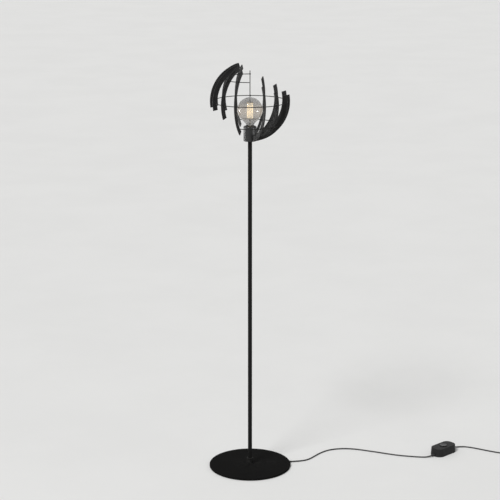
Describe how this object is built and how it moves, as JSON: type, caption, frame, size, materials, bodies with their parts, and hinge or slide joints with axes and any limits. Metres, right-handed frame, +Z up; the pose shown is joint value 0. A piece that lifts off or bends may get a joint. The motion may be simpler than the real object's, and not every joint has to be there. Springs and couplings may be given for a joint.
{
  "type": "floor lamp",
  "caption": "Slim floor lamp: flat round base, thin pole, and an open globe cage of flat ribs and wire rings round a globe bulb, with a foot switch and a coiled lead.",
  "frame": {"origin": "centre of the base pad's underside, on the floor", "axes": "+Z up the pole; -Y the front, where the cage leaves out a rib; +X to the right, the side the cord leaves by"},
  "size_m": [1.3093, 0.3785, 1.6002],
  "materials": {
    "cage_coat": "matt black powder coat",
    "wire_coat": "satin black powder coat",
    "stand_coat": "matt black powder coat",
    "cover_coat": "satin black lacquer",
    "foam": "closed-cell foam",
    "dark_screw": "black oxide",
    "zinc_steel": "zinc plated",
    "holder_plastic": "moulded thermoset",
    "ceramic_insert": "glazed",
    "contact_brass": "drawn brass",
    "lead_wire": "insulated wire",
    "smoke_glass": "smoke-tinted, clear",
    "stem_glass": "clear",
    "bulb_cap": "nickel plated",
    "bulb_insulator": "vitreous black",
    "bulb_tip": "solder",
    "filament": "phosphor-coated strip",
    "support_wire": "bright wire",
    "cord_sheath": "black PVC sheath",
    "rim_rubber": "moulded rubber",
    "switch_shell": "fine spark-eroded grain",
    "switch_button": "polished",
    "contact_block": "moulded",
    "spring_steel": "drawn wire",
    "plug_moulding": "moulded PVC",
    "plug_pin": "nickel plated"
  },
  "bodies": {
    "root": {"base_pad": "foam", "base_plate": "stand_coat", "cage_hub": "cover_coat", "collar_grub_screw": "dark_screw", "cord_coil": "cord_sheath", "cord_in_pole": "cord_sheath", "cord_rim_bush": "rim_rubber", "cord_tail": "cord_sheath", "cord_to_coil": "cord_sheath", "cord_to_switch": "cord_sheath", "hub_nut": "zinc_steel", "hub_washer": "zinc_steel", "lampholder_contact": "contact_brass", "lampholder_dome": "holder_plastic", "lampholder_insert": "ceramic_insert", "lampholder_shell": "contact_brass", "lampholder_skirt": "holder_plastic", "lampholder_wires": "lead_wire", "nipple": "zinc_steel", "plug_body": "plug_moulding", "plug_pins": "plug_pin", "pole_collar": "stand_coat", "pole_coupler_lower": "zinc_steel", "pole_coupler_upper": "zinc_steel", "pole_lower": "stand_coat", "pole_middle": "stand_coat", "pole_top_bush": "zinc_steel", "pole_upper": "stand_coat", "rib_back": "cage_coat", "rib_left_back": "cage_coat", "rib_left_back_mid": "cage_coat", "rib_left_back_side": "cage_coat", "rib_left_front": "cage_coat", "rib_left_front_mid": "cage_coat", "rib_left_front_side": "cage_coat", "rib_left_side": "cage_coat", "rib_right_back": "cage_coat", "rib_right_back_mid": "cage_coat", "rib_right_back_side": "cage_coat", "rib_right_front": "cage_coat", "rib_right_front_mid": "cage_coat", "rib_right_front_side": "cage_coat", "rib_right_side": "cage_coat", "ring_lower": "wire_coat", "ring_middle": "wire_coat", "ring_upper": "wire_coat", "socket_cover": "cover_coat", "switch_contact_block": "contact_block", "switch_lower_shell": "switch_shell", "switch_screws": "dark_screw", "switch_spring": "spring_steel", "switch_upper_shell": "switch_shell"},
    "bulb": {"bulb_cap": "bulb_cap", "bulb_filaments": "filament", "bulb_glass": "smoke_glass", "bulb_insulator": "bulb_insulator", "bulb_stem": "stem_glass", "bulb_tip": "bulb_tip", "bulb_wires": "support_wire"},
    "button": {"switch_button": "switch_button"}
  },
  "joints": [
    {"name": "bulb_lift", "type": "slide", "parent": "root", "child": "bulb", "axis": [0, 0, 1], "range_m": [0, 0.026]},
    {"name": "button_press", "type": "slide", "parent": "root", "child": "button", "axis": [0, 0, -1], "range_m": [0, 0.003], "stiffness_N_per_m": 400, "springref_m": -0.003, "deforming": ["switch_spring"]}
  ]
}
